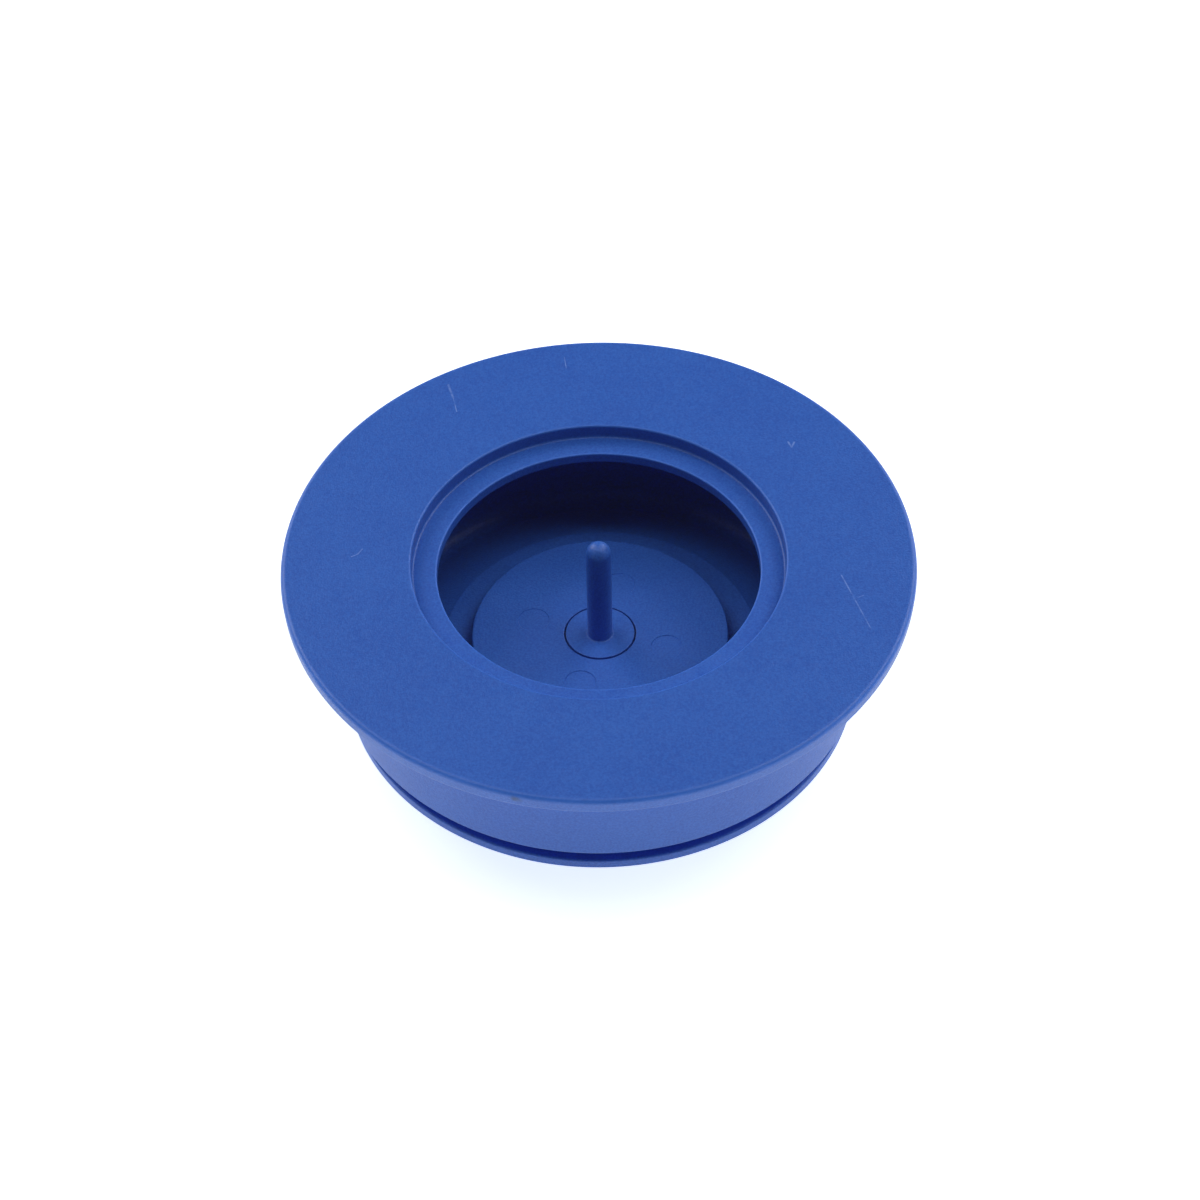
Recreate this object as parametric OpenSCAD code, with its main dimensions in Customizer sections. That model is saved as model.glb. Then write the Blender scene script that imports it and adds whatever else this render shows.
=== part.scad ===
// Flanged round housing in moulded blue plastic, with a slender centre pin.
// It comes apart into a collar (flange, stepped mouth and skirt), a base
// (plateau, step, sloping floor, ring and foot lip) and the pin with its round
// foot. The chamber inside is wider than its mouth, so the collar and the base
// are two mouldings: the base's ring pushes up into the skirt.
// The origin is the centre of the flat foot, and +Z points up out of the mouth.

/* [Body] */
// Height from the flat foot to the top of the flange
body_h = 26.6; // [26:0.1:30]
// Radial clearance between pieces that are pushed together
fit_gap = 0.05; // [0.02:0.01:0.08]

/* [Flange] */
// Outer diameter of the flange
flange_d = 100; // [96:1:110]
// Thickness of the flange
flange_t = 2.6; // [2.4:0.1:3]
// How much smaller the radius is at the flange's lower edge
flange_draft = 0.18; // [0:0.02:0.3]
// Rounding of the flange's upper edge
flange_round = 1.1; // [0.3:0.1:1.4]

/* [Skirt] */
// Outer diameter of the skirt below the flange
skirt_d = 84.4; // [84:0.1:86]
// Wall of the skirt where the base pushes in
skirt_wall = 2.5; // [2:0.1:2.8]
// Rounding of the skirt's lower edge
skirt_round = 0.4; // [0.3:0.1:0.8]

/* [Mouth] */
// Diameter of the shallow recess round the mouth
recess_d = 59; // [58:0.5:61]
// Depth of that recess, down to the ledge
recess_depth = 2.45; // [2:0.05:2.8]
// Diameter of the mouth inside the ledge
mouth_d = 51; // [48:0.1:53]
// Thickness of the ledge
ledge_t = 1.8; // [1.5:0.1:2.2]

/* [Floor] */
// Diameter of the raised plateau
plateau_d = 41.2; // [38:0.1:44]
// Depth of the plateau below the top of the flange
plateau_depth = 17.6; // [16:0.1:18.5]
// Outer diameter of the level step round the plateau
step_d = 51; // [49:0.1:53]
// Depth of that step below the top of the flange
step_depth = 20.75; // [19.6:0.05:21]
// Depth of the slope's outer end below the top of the flange
slope_depth = 25.4; // [24.6:0.1:25.4]
// Rounding in the corner between the slope and the base's ring
slope_round = 2.5; // [0.5:0.1:3]
// Thickness of the floor
floor_t = 2.2; // [2:0.1:2.6]

/* [Foot] */
// Diameter of the lip at the foot
lip_d = 82.2; // [81.2:0.1:83]
// Thickness of the lip
lip_t = 1.8; // [1.5:0.1:2.2]
// Height of the open groove between the lip and the skirt
groove_h = 3; // [2.5:0.1:3.6]
// Width of the flat ring that the base stands on
foot_w = 6.6; // [5:0.1:8]
// How far the base's ring reaches up inside the skirt
spigot_h = 7; // [5:0.5:9]

/* [Centre pin] */
// Diameter of the pin
pin_d = 4; // [3:0.1:5]
// How far the pin's tip stands above the flange
pin_proud = 2.75; // [1:0.05:4]
// Diameter of the round foot that the pin stands on
pin_foot_d = 11; // [9:0.5:14]
// Thickness of that foot
pin_foot_t = 1.2; // [0.9:0.1:1.4]
// Diameter of the short stem that goes through the floor
pin_stem_d = 6; // [5:0.5:8]

/* [Hidden] */
$fn = 96;

plastic_blue = [0.17, 0.34, 0.65];
edge_break = 0.2;
recess_fillet = 0.35;
foot_round = 0.3;
neck_wall = 2.2;
spigot_wall = 2.2;
shoulder = 0.5;
under_inset = 0.4;
arc_steps = 4;

flange_r = flange_d / 2;
skirt_r = skirt_d / 2;
socket_r = skirt_r - skirt_wall;
bore_r = socket_r - shoulder;
recess_r = recess_d / 2;
mouth_r = mouth_d / 2;
neck_r = recess_r + neck_wall;
plateau_r = plateau_d / 2;
step_r = step_d / 2;
lip_r = lip_d / 2;
spigot_r = socket_r - fit_gap;
spigot_bore_r = spigot_r - spigot_wall;
pin_r = pin_d / 2;
pin_foot_r = pin_foot_d / 2;
pin_stem_r = pin_stem_d / 2;

flange_under_z = body_h - flange_t;
ledge_z = body_h - recess_depth;
ledge_under_z = ledge_z - ledge_t;
skirt_foot_z = lip_t + groove_h;
spigot_z = skirt_foot_z + spigot_h;
plateau_z = body_h - plateau_depth;
step_z = body_h - step_depth;
slope_foot_z = body_h - slope_depth;
slope_fall = atan2(step_z - slope_foot_z, spigot_bore_r - step_r);
slope_arc_z = slope_foot_z + slope_round / tan(45 - slope_fall / 2);
pin_seat_z = plateau_z - pin_foot_t;
pin_tip_z = body_h + pin_proud;

// Points of an arc about [r, z] in the section, from one angle to another
function arc(r, z, radius, from, to) =
    [for (i = [0 : arc_steps])
        let (a = from + (to - from) * i / arc_steps)
        [r + radius * cos(a), z + radius * sin(a)]];

// Collar: flange, recess, ledge with the mouth, neck, and skirt with the socket
// for the base's ring
module flange_collar() {
    section = concat(
        [[recess_r, body_h - edge_break], [recess_r + edge_break, body_h]],
        arc(flange_r - flange_round, body_h - flange_round, flange_round, 90, 0),
        arc(flange_r - flange_draft - edge_break, flange_under_z + edge_break, edge_break, 0, -90),
        [[skirt_r, flange_under_z]],
        arc(skirt_r - skirt_round, skirt_foot_z + skirt_round, skirt_round, 0, -90),
        [[socket_r, skirt_foot_z], [socket_r, spigot_z]],
        [[bore_r, spigot_z], [bore_r, flange_under_z]],
        [[neck_r, flange_under_z], [neck_r, ledge_under_z], [mouth_r, ledge_under_z]],
        [[mouth_r, ledge_z - edge_break], [mouth_r + edge_break, ledge_z]],
        arc(recess_r - recess_fillet, ledge_z + recess_fillet, recess_fillet, -90, 0)
    );
    color(plastic_blue) rotate_extrude() polygon(section);
}

// Base: plateau with the pin's seat, step, sloping floor, foot lip and the ring
// that pushes up into the skirt
module stepped_base() {
    section = concat(
        [[pin_foot_r + fit_gap, pin_seat_z], [pin_foot_r + fit_gap, plateau_z - edge_break]],
        [[pin_foot_r + fit_gap + edge_break, plateau_z]],
        arc(plateau_r - edge_break, plateau_z - edge_break, edge_break, 90, 0),
        [[plateau_r, step_z], [step_r, step_z]],
        arc(spigot_bore_r - slope_round, slope_arc_z, slope_round, -90 - slope_fall, 0),
        [[spigot_bore_r, spigot_z], [spigot_r - edge_break, spigot_z], [spigot_r, spigot_z - edge_break]],
        [[spigot_r, lip_t]],
        arc(lip_r - foot_round, lip_t - foot_round, foot_round, 90, 0),
        arc(lip_r - foot_round, foot_round, foot_round, 0, -90),
        [[lip_r - foot_w, 0], [step_r - under_inset, step_z - floor_t]],
        [[plateau_r - floor_t, step_z - floor_t], [plateau_r - floor_t, plateau_z - floor_t]],
        [[pin_stem_r + fit_gap, plateau_z - floor_t], [pin_stem_r + fit_gap, pin_seat_z]]
    );
    color(plastic_blue) rotate_extrude() polygon(section);
}

// Centre pin: stem through the floor, round foot with a broken edge, straight
// shaft and a hemispherical tip
module centre_pin() {
    color(plastic_blue) union() {
        translate([0, 0, plateau_z - floor_t]) cylinder(r = pin_stem_r, h = floor_t - pin_foot_t);
        translate([0, 0, pin_seat_z]) cylinder(r = pin_foot_r, h = pin_foot_t - edge_break);
        translate([0, 0, plateau_z - edge_break])
            cylinder(r1 = pin_foot_r, r2 = pin_foot_r - edge_break, h = edge_break);
        translate([0, 0, plateau_z]) cylinder(r = pin_r, h = pin_tip_z - pin_r - plateau_z);
        translate([0, 0, pin_tip_z - pin_r]) sphere(r = pin_r);
    }
}

flange_collar();
stepped_base();
centre_pin();
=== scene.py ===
"""Looks for the flanged round housing: three turned plastic pieces on a bright studio floor.

Lengths on the object are in millimetres, and the studio's are in metres. A section lists
corners as (radius, height above the foot, corner rounding). Each one is turned about +Z and
stands for the CAD node that it replaces.
"""
import math

import bmesh
import bpy
from mathutils import Matrix, Vector


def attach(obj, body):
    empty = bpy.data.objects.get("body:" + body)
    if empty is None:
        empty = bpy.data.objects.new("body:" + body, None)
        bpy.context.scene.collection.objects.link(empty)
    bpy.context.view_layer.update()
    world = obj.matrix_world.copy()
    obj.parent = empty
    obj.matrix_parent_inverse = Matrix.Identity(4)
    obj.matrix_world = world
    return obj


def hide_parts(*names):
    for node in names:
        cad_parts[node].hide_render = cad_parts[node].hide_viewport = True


MM = 0.001

# Turning: the steps in a full turn, the widest step in a rounding, how far a rounding's support
# points stand off, the angle from which an edge stays sharp, and the radius of the axis itself
TURN_STEPS = 288
ARC_STEP = math.radians(6)
SUPPORT = 0.05
SHARP_ANGLE = math.radians(40)
ON_AXIS = 1e-6

# Heights above the foot
PIN_TIP = 29.35
FLANGE_TOP = 26.6
LEDGE_TOP = 24.15
FLANGE_UNDER = 24.0
LEDGE_UNDER = 22.35
SPIGOT_TOP = 11.8
PLATEAU_TOP = 9.0
PIN_SEAT = 7.8
PLATEAU_UNDER = 6.8
STEP_TOP = 5.85
SKIRT_FOOT = 4.8
STEP_UNDER = 3.65
LIP_TOP = 1.8
SLOPE_FOOT = 1.2
PIN_FOOT_PROUD = 0.08
PIN_FOOT_TOP = PLATEAU_TOP + PIN_FOOT_PROUD

# Radii
FLANGE_RADIUS = 50.0
FLANGE_UNDER_RADIUS = 49.82
SKIRT_RADIUS = 42.2
LIP_RADIUS = 41.1
SOCKET_RADIUS = 39.7
SPIGOT_RADIUS = 39.65
SKIRT_BORE_RADIUS = 39.2
SPIGOT_BORE_RADIUS = 37.45
FOOT_INNER_RADIUS = 34.5
NECK_RADIUS = 31.7
RECESS_RADIUS = 29.5
MOUTH_RADIUS = 25.5
STEP_RADIUS = 25.5
STEP_UNDER_RADIUS = 25.1
PLATEAU_RADIUS = 20.6
PLATEAU_UNDER_RADIUS = 18.4
PIN_FOOT_RADIUS = 5.5
PIN_RING_GAP = 0.28
PIN_SEAT_RADIUS = PIN_FOOT_RADIUS + PIN_RING_GAP
PIN_STEM_HOLE_RADIUS = 3.05
PIN_STEM_RADIUS = 3.0
PIN_RADIUS = 2.0

COLLAR_SECTION = [
    (RECESS_RADIUS, FLANGE_TOP, 0.35),
    (FLANGE_RADIUS, FLANGE_TOP, 0.8),
    (FLANGE_UNDER_RADIUS, FLANGE_UNDER, 0.45),
    (SKIRT_RADIUS, FLANGE_UNDER, 0.35),
    (SKIRT_RADIUS, SKIRT_FOOT, 0.35),
    (SOCKET_RADIUS, SKIRT_FOOT, 0.2),
    (SOCKET_RADIUS, SPIGOT_TOP, 0.05),
    (SKIRT_BORE_RADIUS, SPIGOT_TOP, 0.05),
    (SKIRT_BORE_RADIUS, FLANGE_UNDER, 0.4),
    (NECK_RADIUS, FLANGE_UNDER, 0.4),
    (NECK_RADIUS, LEDGE_UNDER, 0.2),
    (MOUTH_RADIUS, LEDGE_UNDER, 0.12),
    (MOUTH_RADIUS, LEDGE_TOP, 0.25),
    (RECESS_RADIUS, LEDGE_TOP, 0.4),
]

BASE_SECTION = [
    (PIN_SEAT_RADIUS, PIN_SEAT, 0.0),
    (PIN_SEAT_RADIUS, PLATEAU_TOP, 0.08),
    (PLATEAU_RADIUS, PLATEAU_TOP, 0.25),
    (PLATEAU_RADIUS, STEP_TOP, 0.3),
    (STEP_RADIUS, STEP_TOP, 0.15),
    (SPIGOT_BORE_RADIUS, SLOPE_FOOT, 2.5),
    (SPIGOT_BORE_RADIUS, SPIGOT_TOP, 0.1),
    (SPIGOT_RADIUS, SPIGOT_TOP, 0.2),
    (SPIGOT_RADIUS, LIP_TOP, 0.2),
    (LIP_RADIUS, LIP_TOP, 0.4),
    (LIP_RADIUS, 0.0, 0.25),
    (FOOT_INNER_RADIUS, 0.0, 0.3),
    (STEP_UNDER_RADIUS, STEP_UNDER, 0.3),
    (PLATEAU_UNDER_RADIUS, STEP_UNDER, 0.3),
    (PLATEAU_UNDER_RADIUS, PLATEAU_UNDER, 0.3),
    (PIN_STEM_HOLE_RADIUS, PLATEAU_UNDER, 0.0),
    (PIN_STEM_HOLE_RADIUS, PIN_SEAT, 0.0),
]

PIN_SECTION = [
    (0.0, PLATEAU_UNDER, 0.0),
    (PIN_STEM_RADIUS, PLATEAU_UNDER, 0.1),
    (PIN_STEM_RADIUS, PIN_SEAT, 0.0),
    (PIN_FOOT_RADIUS, PIN_SEAT, 0.05),
    (PIN_FOOT_RADIUS, PIN_FOOT_TOP, 0.08),
    (PIN_RADIUS, PIN_FOOT_TOP, 0.25),
    (PIN_RADIUS, PIN_TIP, PIN_RADIUS),
    (0.0, PIN_TIP, 0.0),
]

# Ejector marks: shallow round dimples in the plateau, cut by a plug that widens upward
MARK_RADIUS = 2.5
MARK_TAPER = 0.04
MARK_DEPTH = 0.1
MARK_CIRCLE = 11.1
MARK_ANGLES = (72.5, 163.75, 252.5, 342.5)
MARK_STEPS = 72
CUTTER_FLARE = 0.8
CUTTER_HEIGHT = 1.0

# Wear on the collar, each stroke from one end to the other as (degrees, radius, height) with the
# distance over which it fades. The places were read off the photograph through its fitted camera.
SCRATCHES = [
    ((352.3, 38.2, FLANGE_TOP), (337.2, 45.6, FLANGE_TOP), 0.17),
    ((345.4, 40.7, FLANGE_TOP), (347.0, 42.1, FLANGE_TOP), 0.13),
    ((38.6, 39.8, FLANGE_TOP), (36.7, 39.4, FLANGE_TOP), 0.25),
    ((36.7, 39.4, FLANGE_TOP), (37.6, 40.5, FLANGE_TOP), 0.25),
    ((96.1, 46.4, FLANGE_TOP), (96.1, 43.6, FLANGE_TOP), 0.14),
    ((121.1, 46.7, FLANGE_TOP), (122.2, 43.7, FLANGE_TOP), 0.3),
    ((122.2, 43.7, FLANGE_TOP), (124.0, 40.5, FLANGE_TOP), 0.14),
    ((178.2, 38.9, FLANGE_TOP), (177.3, 37.9, FLANGE_TOP), 0.14),
    ((177.3, 37.9, FLANGE_TOP), (175.6, 37.3, FLANGE_TOP), 0.17),
]
# A small dark spot on the flange's top edge, in the same form, drawn only as colour
DARK_SPOTS = [
    ((254.5, FLANGE_RADIUS, 25.6), (255.5, FLANGE_RADIUS, 25.5), 0.8),
]

# Edges drawn paler as a painted highlight, standing in for the light their roundings catch,
# as (radius, height) with the distance over which the paler colour fades
PAINTED_EDGE_HIGHLIGHTS = [
    (FLANGE_RADIUS, FLANGE_TOP, 1.1),
    (RECESS_RADIUS, FLANGE_TOP, 0.5),
    (MOUTH_RADIUS, LEDGE_TOP, 0.45),
]

# The blue plastic, as linear colours, and where the first two lie on the ramp between them
BLUE_DEEP = (0.019, 0.104, 0.52)
BLUE_PALE = (0.032, 0.150, 0.62)
# Paler blue painted along the collar's edges as a highlight
BLUE_EDGE_HIGHLIGHT = (0.05, 0.20, 0.82)
BLUE_SCRATCHED = (0.16, 0.29, 0.75)
# Near-black blue for the dark spot on the flange's edge
BLUE_DARK_SPOT = (0.01, 0.03, 0.09)
DEEP_AT = 0.3
PALE_AT = 0.7
SPECULAR = 0.5

# A trace of glow that lifts the darkest shadows, as stray light in the lens does
VEIL = (1.0, 0.95, 0.6)
VEIL_STRENGTH = 0.0035

# Noises in the plastic as (scale, detail), and the values that each one is spread over
SPECKLE_NOISE = (2800, 3)
SPECKLE_RANGE = (-0.2, 0.9)
CLOUD_NOISE = (90, 4)
CLOUD_RANGE = (0.0, 0.3)
SCRATCH_NOISE = (700, 3)
SCRATCH_RANGE = (-0.9, 2.1)
# The noise that breaks up the painted edge highlights
EDGE_HIGHLIGHT_NOISE = (300, 2)
EDGE_HIGHLIGHT_RANGE = (0.6, 1.2)
ROUGHNESS_NOISE = (600, 3)
ROUGHNESS_RANGE = (0.33, 0.47)
GRAIN_NOISE = (3500, 2)
GRAIN_STRENGTH = 0.6
GRAIN_DISTANCE = 0.0001
OFFSET_Y_SHARE = 0.7

# The colour sockets of a mix node, whose names its other types share
MIX_UNDER = 6
MIX_OVER = 7
MIX_RESULT = 2

# Camera: it looks at the middle of the flange's top, from the front and above. The values come
# from a camera fitted to the photograph's ellipses.
CAMERA_DISTANCE = 0.55
CAMERA_ELEVATION = math.radians(46.27)
CAMERA_ROLL = math.radians(1.27)
CAMERA_TILT = math.radians(0.7036)
CAMERA_TURN = math.radians(0.0252)
CAMERA_LENS = 105.09
CAMERA_SENSOR = 36
CAMERA_CLIP = 0.01

# Softboxes: azimuth and elevation in degrees (0 is +X, 90 is behind), width in metres, watts.
# The watts and the floor's glow are a least-squares fit to the photograph's brightness, rounded.
LIGHT_DISTANCE = 1.5
SOFTBOXES = {
    "back_left": (135, 35, 0.8, 7.9),
    "back_right": (45, 35, 0.8, 6.5),
    "left_high": (180, 55, 0.9, 2.2),
    "left_top": (180, 75, 0.5, 1.8),
    "right_high": (0, 55, 0.9, 4.5),
    "right_top": (0, 75, 0.5, 1.3),
    "front_top": (270, 75, 0.5, 0.3),
    "front_left_low": (225, 4, 0.6, 0.6),
    "front_right_low": (315, 4, 0.6, 0.8),
}
WORLD_LIGHT = 0.02
WORLD_SEEN = 1.0

# Floor: it lies a hair below the foot, so that the two don't coincide
FLOOR_GLOW = 0.795
FLOOR_GLOW_COLOUR = (0.93, 1.0, 0.97)
FLOOR_COLOUR = (0.9, 0.9, 0.9)
FLOOR_ROUGHNESS = 0.7
FLOOR_SIZE = 8.0
FLOOR_SEGMENTS = 8
FLOOR_DROP = 0.00003


def rounded_section(corners):
    """Section points in which each corner is an arc with a support point on either side."""
    points = []
    count = len(corners)
    for i, (r, z, radius) in enumerate(corners):
        here = Vector((r, z))
        to_last = Vector(corners[i - 1][:2]) - here
        to_next = Vector(corners[(i + 1) % count][:2]) - here
        if radius == 0.0:
            points.append(here)
            continue
        u = to_last.normalized()
        v = to_next.normalized()
        half = u.angle(v) / 2
        tangent = radius / math.tan(half)
        centre = here + (u + v).normalized() * radius / math.sin(half)
        start = here + u * tangent - centre
        sweep = start.angle_signed(here + v * tangent - centre)
        steps = max(2, math.ceil(abs(sweep) / ARC_STEP))
        if to_last.length > tangent + 4 * SUPPORT:
            points.append(here + u * (tangent + SUPPORT))
        for k in range(steps + 1):
            points.append(centre + Matrix.Rotation(-sweep * k / steps, 2) @ start)
        if to_next.length > tangent + 4 * SUPPORT:
            points.append(here + v * (tangent + SUPPORT))
    return points


def turned(name, corners):
    """A mesh object: the rounded section turned about +Z, closed on itself."""
    points = rounded_section(corners)
    mesh = bmesh.new()
    rings = []
    for r, z in points:
        if r < ON_AXIS:
            rings.append([mesh.verts.new((0.0, 0.0, z * MM))])
            continue
        ring = []
        for k in range(TURN_STEPS):
            angle = 2 * math.pi * k / TURN_STEPS
            ring.append(mesh.verts.new((r * MM * math.cos(angle), r * MM * math.sin(angle), z * MM)))
        rings.append(ring)
    for lower, upper in zip(rings, rings[1:] + rings[:1]):
        for k in range(TURN_STEPS):
            after = (k + 1) % TURN_STEPS
            if len(lower) > 1 and len(upper) > 1:
                mesh.faces.new((lower[k], lower[after], upper[after], upper[k]))
            elif len(lower) > 1:
                mesh.faces.new((lower[k], lower[after], upper[0]))
            elif len(upper) > 1:
                mesh.faces.new((lower[0], upper[after], upper[k]))
    bmesh.ops.recalc_face_normals(mesh, faces=mesh.faces)
    return object_from(name, mesh)


def object_from(name, mesh):
    """Links a new object made from a bmesh, shaded smooth except at sharp edges."""
    for face in mesh.faces:
        face.smooth = True
    data = bpy.data.meshes.new(name)
    mesh.to_mesh(data)
    mesh.free()
    data.set_sharp_from_angle(angle=SHARP_ANGLE)
    piece = bpy.data.objects.new(name, data)
    bpy.context.scene.collection.objects.link(piece)
    return piece


def disc_cutter(angle):
    """A short tapered plug whose lower end cuts one ejector mark."""
    mesh = bmesh.new()
    place = Matrix.Rotation(math.radians(angle), 4, "Z") @ Matrix.Translation((MARK_CIRCLE * MM, 0, 0))
    rings = []
    lower_end = (MARK_RADIUS - MARK_TAPER, -MARK_DEPTH)
    upper_end = (MARK_RADIUS + CUTTER_FLARE, CUTTER_HEIGHT)
    for radius, z in (lower_end, upper_end):
        ring = []
        for k in range(MARK_STEPS):
            turn = 2 * math.pi * k / MARK_STEPS
            point = Vector((radius * math.cos(turn), radius * math.sin(turn), PLATEAU_TOP + z)) * MM
            ring.append(mesh.verts.new(place @ point))
        rings.append(ring)
    mesh.faces.new(reversed(rings[0]))
    mesh.faces.new(rings[1])
    for k in range(MARK_STEPS):
        after = (k + 1) % MARK_STEPS
        mesh.faces.new((rings[0][k], rings[0][after], rings[1][after], rings[1][k]))
    bmesh.ops.recalc_face_normals(mesh, faces=mesh.faces)
    return object_from("mark_cutter", mesh)


def cut_marks(piece):
    """Cuts the ejector marks into the plateau and keeps the result as the piece's own mesh."""
    for angle in MARK_ANGLES:
        cutter = disc_cutter(angle)
        cut = piece.modifiers.new("ejector_mark", "BOOLEAN")
        cut.operation = "DIFFERENCE"
        cut.solver = "EXACT"
        cut.object = cutter
        bpy.context.view_layer.update()
        evaluated = piece.evaluated_get(bpy.context.evaluated_depsgraph_get())
        result = bpy.data.meshes.new_from_object(evaluated)
        piece.modifiers.clear()
        piece.data = result
        bpy.data.objects.remove(cutter)
    piece.data.set_sharp_from_angle(angle=SHARP_ANGLE)


def around(place):
    """A point in metres from (degrees, radius, height) in millimetres."""
    degrees, radius, height = place
    angle = math.radians(degrees)
    return Vector((radius * math.cos(angle), radius * math.sin(angle), height)) * MM


def vector_math(material, operation, first, second):
    """The output of a vector math node on a socket and a fixed vector or another socket."""
    node = material.node_tree.nodes.new("ShaderNodeVectorMath")
    node.operation = operation
    material.node_tree.links.new(first, node.inputs[0])
    if isinstance(second, Vector):
        node.inputs[1].default_value = second
    else:
        material.node_tree.links.new(second, node.inputs[1])
    return node.outputs["Value" if operation in ("DOT_PRODUCT", "DISTANCE") else "Vector"]


def stroke_mask(material, position, start, end, reach):
    """1 on the straight stroke between two points, fading to 0 at a distance of reach."""
    nodes = material.node_tree.nodes
    links = material.node_tree.links
    way = end - start
    from_start = vector_math(material, "SUBTRACT", position, start)
    share = nodes.new("ShaderNodeClamp")
    along = vector_math(material, "DOT_PRODUCT", from_start, way / way.length_squared)
    links.new(along, share.inputs["Value"])
    nearest = nodes.new("ShaderNodeVectorMath")
    nearest.operation = "SCALE"
    nearest.inputs[0].default_value = way
    links.new(share.outputs["Result"], nearest.inputs["Scale"])
    distance = vector_math(material, "DISTANCE", from_start, nearest.outputs["Vector"])
    return fading(material, distance, reach)


def edge_mask(material, position, radius, height, reach):
    """1 on a circle about the axis, fading to 0 at a distance of reach."""
    nodes = material.node_tree.nodes
    links = material.node_tree.links
    flat = vector_math(material, "MULTIPLY", position, Vector((1, 1, 0)))
    off_axis = vector_math(material, "DISTANCE", flat, Vector((0, 0, 0)))
    parts = nodes.new("ShaderNodeSeparateXYZ")
    links.new(position, parts.inputs["Vector"])
    section = nodes.new("ShaderNodeCombineXYZ")
    links.new(off_axis, section.inputs["X"])
    links.new(parts.outputs["Z"], section.inputs["Z"])
    edge = Vector((radius, 0, height)) * MM
    distance = vector_math(material, "DISTANCE", section.outputs["Vector"], edge)
    return fading(material, distance, reach)


def fading(material, distance, reach):
    """1 at no distance, falling smoothly to 0 at reach."""
    fade = material.node_tree.nodes.new("ShaderNodeMapRange")
    fade.interpolation_type = "SMOOTHSTEP"
    fade.inputs["From Max"].default_value = reach
    fade.inputs["To Min"].default_value = 1.0
    fade.inputs["To Max"].default_value = 0.0
    material.node_tree.links.new(distance, fade.inputs["Value"])
    return fade.outputs["Result"]


def wear_and_highlight_colour(material, colour, masks, mask_colour, patchiness):
    """The colour with another colour over it where a mask is strong, broken up by a noise."""
    nodes = material.node_tree.nodes
    links = material.node_tree.links
    strongest = masks[0]
    for mask in masks[1:]:
        larger = nodes.new("ShaderNodeMath")
        larger.operation = "MAXIMUM"
        links.new(strongest, larger.inputs[0])
        links.new(mask, larger.inputs[1])
        strongest = larger.outputs["Value"]
    broken = nodes.new("ShaderNodeMath")
    broken.operation = "MULTIPLY"
    links.new(strongest, broken.inputs[0])
    links.new(patchiness, broken.inputs[1])
    mix = nodes.new("ShaderNodeMix")
    mix.data_type = "RGBA"
    links.new(broken.outputs["Value"], mix.inputs["Factor"])
    links.new(colour, mix.inputs[MIX_UNDER])
    mix.inputs[MIX_OVER].default_value = (*mask_colour, 1)
    return mix.outputs[MIX_RESULT]


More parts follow.
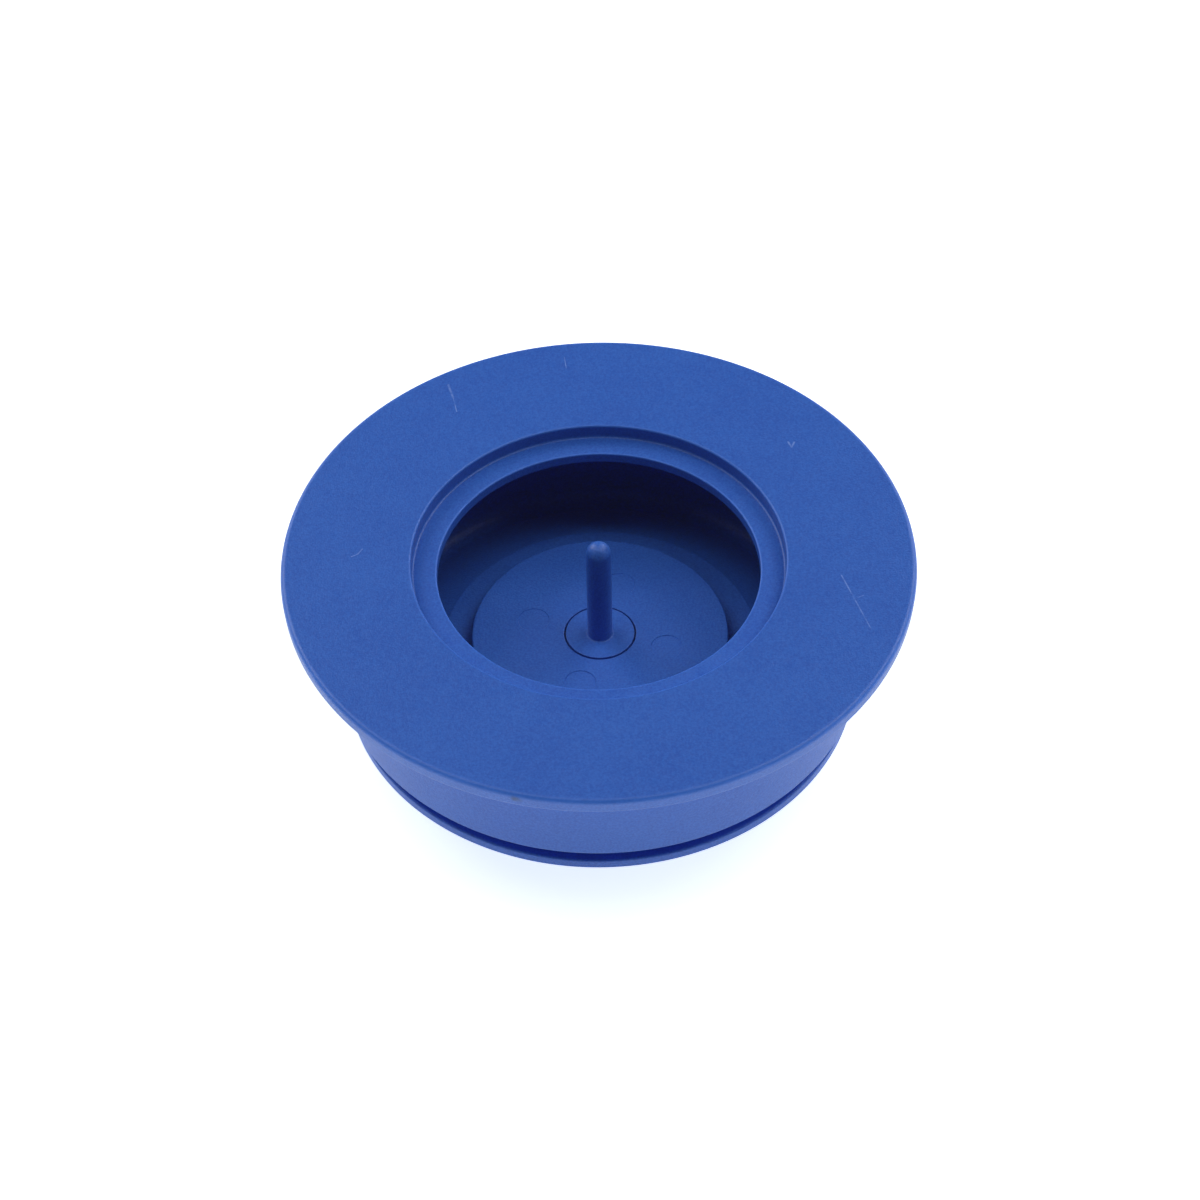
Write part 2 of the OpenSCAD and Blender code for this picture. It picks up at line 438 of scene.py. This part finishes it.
def moulded_plastic(name, offset, wear_and_highlights):
    """Matte blue moulded plastic; the offset varies its noises, and the flag adds the collar's marks
    and painted edge highlights.
    """
    material = bpy.data.materials.new(name)
    material.use_nodes = True
    nodes = material.node_tree.nodes
    links = material.node_tree.links
    shader = nodes["Principled BSDF"]
    shader.inputs["Specular IOR Level"].default_value = SPECULAR
    shader.inputs["Emission Color"].default_value = (*VEIL, 1)
    shader.inputs["Emission Strength"].default_value = VEIL_STRENGTH

    position = nodes.new("ShaderNodeTexCoord").outputs["Object"]
    shifted = vector_math(material, "ADD", position, Vector((offset, offset * OFFSET_Y_SHARE, 0.0)))

    def noise(scale, detail):
        node = nodes.new("ShaderNodeTexNoise")
        node.inputs["Scale"].default_value = scale
        node.inputs["Detail"].default_value = detail
        links.new(shifted, node.inputs["Vector"])
        return node.outputs["Fac"]

    def ranged(value, low, high):
        node = nodes.new("ShaderNodeMapRange")
        node.inputs["To Min"].default_value = low
        node.inputs["To Max"].default_value = high
        links.new(value, node.inputs["Value"])
        return node.outputs["Result"]

    # Fine speckle with faint clouds behind it
    shade = nodes.new("ShaderNodeMath")
    shade.operation = "ADD"
    links.new(ranged(noise(*SPECKLE_NOISE), *SPECKLE_RANGE), shade.inputs[0])
    links.new(ranged(noise(*CLOUD_NOISE), *CLOUD_RANGE), shade.inputs[1])
    tint = nodes.new("ShaderNodeValToRGB")
    tint.color_ramp.elements[0].position = DEEP_AT
    tint.color_ramp.elements[0].color = (*BLUE_DEEP, 1)
    tint.color_ramp.elements[1].position = PALE_AT
    tint.color_ramp.elements[1].color = (*BLUE_PALE, 1)
    links.new(shade.outputs["Value"], tint.inputs["Fac"])
    colour = tint.outputs["Color"]
    if wear_and_highlights:
        # Painted highlights: the collar's rounded edges drawn paler where they would catch light
        edges = [edge_mask(material, position, radius, height, reach * MM)
                 for radius, height, reach in PAINTED_EDGE_HIGHLIGHTS]
        scratches = [stroke_mask(material, position, around(start), around(end), reach * MM)
                     for start, end, reach in SCRATCHES]
        dark_spots = [stroke_mask(material, position, around(start), around(end), reach * MM)
                 for start, end, reach in DARK_SPOTS]
        patchiness = ranged(noise(*SCRATCH_NOISE), *SCRATCH_RANGE)
        edge_highlight_patchiness = ranged(noise(*EDGE_HIGHLIGHT_NOISE), *EDGE_HIGHLIGHT_RANGE)
        # Paints the edge highlights over the plastic's colour
        colour = wear_and_highlight_colour(material, colour, edges, BLUE_EDGE_HIGHLIGHT, edge_highlight_patchiness)
        colour = wear_and_highlight_colour(material, colour, scratches, BLUE_SCRATCHED, patchiness)
        # Draws the dark spot on the flange's edge over the colour
        colour = wear_and_highlight_colour(material, colour, dark_spots, BLUE_DARK_SPOT, patchiness)
    links.new(colour, shader.inputs["Base Color"])
    links.new(ranged(noise(*ROUGHNESS_NOISE), *ROUGHNESS_RANGE), shader.inputs["Roughness"])

    grain = nodes.new("ShaderNodeBump")
    grain.inputs["Strength"].default_value = GRAIN_STRENGTH
    grain.inputs["Distance"].default_value = GRAIN_DISTANCE
    links.new(noise(*GRAIN_NOISE), grain.inputs["Height"])
    links.new(grain.outputs["Normal"], shader.inputs["Normal"])
    return material


def pale_floor():
    """A wide plain floor that glows a little, like a light table."""
    mesh = bmesh.new()
    half = FLOOR_SIZE / 2
    bmesh.ops.create_grid(mesh, x_segments=FLOOR_SEGMENTS, y_segments=FLOOR_SEGMENTS, size=half)
    floor = object_from("studio_floor", mesh)
    floor.location.z = -FLOOR_DROP
    material = bpy.data.materials.new("floor_white")
    material.use_nodes = True
    shader = material.node_tree.nodes["Principled BSDF"]
    shader.inputs["Base Color"].default_value = (*FLOOR_COLOUR, 1)
    shader.inputs["Roughness"].default_value = FLOOR_ROUGHNESS
    shader.inputs["Emission Color"].default_value = (*FLOOR_GLOW_COLOUR, 1)
    shader.inputs["Emission Strength"].default_value = FLOOR_GLOW
    floor.data.materials.append(material)


def softbox(name, azimuth, elevation, size, watts):
    """A square area light at the common distance, facing the object."""
    light = bpy.data.lights.new(name, "AREA")
    light.shape = "SQUARE"
    light.size = size
    light.energy = watts
    lamp = bpy.data.objects.new(name, light)
    turn = math.radians(azimuth)
    above = math.radians(elevation)
    way = Vector((math.cos(above) * math.cos(turn), math.cos(above) * math.sin(turn), math.sin(above)))
    lamp.location = way * LIGHT_DISTANCE
    lamp.rotation_euler = way.to_track_quat("Z", "Y").to_euler()
    bpy.context.scene.collection.objects.link(lamp)


def pale_surroundings():
    """A white world that the camera sees but that adds almost no light of its own."""
    world = bpy.data.worlds.new("studio")
    world.use_nodes = True
    nodes = world.node_tree.nodes
    strength = nodes.new("ShaderNodeMapRange")
    strength.inputs["To Min"].default_value = WORLD_LIGHT
    strength.inputs["To Max"].default_value = WORLD_SEEN
    rays = nodes.new("ShaderNodeLightPath")
    world.node_tree.links.new(rays.outputs["Is Camera Ray"], strength.inputs["Value"])
    world.node_tree.links.new(strength.outputs["Result"], nodes["Background"].inputs["Strength"])
    nodes["Background"].inputs["Color"].default_value = (1, 1, 1, 1)
    bpy.context.scene.world = world


def studio_camera():
    """The camera, placed by its distance, elevation, roll and a small tilt and turn of its aim."""
    target = Vector((0, 0, FLANGE_TOP * MM))
    forward = Vector((0, math.cos(CAMERA_ELEVATION), -math.sin(CAMERA_ELEVATION)))
    up = Vector((0, math.sin(CAMERA_ELEVATION), math.cos(CAMERA_ELEVATION)))
    right = forward.cross(up)
    facing = Matrix((right, up, -forward)).transposed()
    facing = facing @ Matrix.Rotation(-CAMERA_ROLL, 3, "Z")
    facing = facing @ Matrix.Rotation(-CAMERA_TURN, 3, "Y") @ Matrix.Rotation(-CAMERA_TILT, 3, "X")
    data = bpy.data.cameras.new("camera")
    data.sensor_width = CAMERA_SENSOR
    data.lens = CAMERA_LENS
    data.clip_start = CAMERA_CLIP
    camera = bpy.data.objects.new("camera", data)
    camera.matrix_world = Matrix.Translation(target - forward * CAMERA_DISTANCE) @ facing.to_4x4()
    bpy.context.scene.collection.objects.link(camera)
    bpy.context.scene.camera = camera


def add_piece(piece, node, material):
    """Puts a finished piece in the place of its CAD node."""
    piece.data.materials.clear()
    piece.data.materials.append(material)
    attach(piece, "root")
    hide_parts(node)


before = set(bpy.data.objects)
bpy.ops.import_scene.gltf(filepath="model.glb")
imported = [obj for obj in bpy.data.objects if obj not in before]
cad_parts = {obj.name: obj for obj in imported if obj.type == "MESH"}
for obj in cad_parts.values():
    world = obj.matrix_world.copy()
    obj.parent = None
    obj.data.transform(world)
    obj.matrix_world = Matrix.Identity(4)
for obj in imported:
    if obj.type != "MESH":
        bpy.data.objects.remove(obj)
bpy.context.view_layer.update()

collar = turned("collar_moulding", COLLAR_SECTION)
base = turned("base_moulding", BASE_SECTION)
cut_marks(base)
pin = turned("pin_moulding", PIN_SECTION)

add_piece(collar, "flange_collar", moulded_plastic("collar_blue", 0.0, True))
add_piece(base, "stepped_base", moulded_plastic("base_blue", 0.31, False))
add_piece(pin, "centre_pin", moulded_plastic("pin_blue", 0.57, False))

pale_floor()
pale_surroundings()
for box_name, settings in SOFTBOXES.items():
    softbox(box_name, *settings)
studio_camera()
bpy.context.scene.view_settings.view_transform = "Standard"
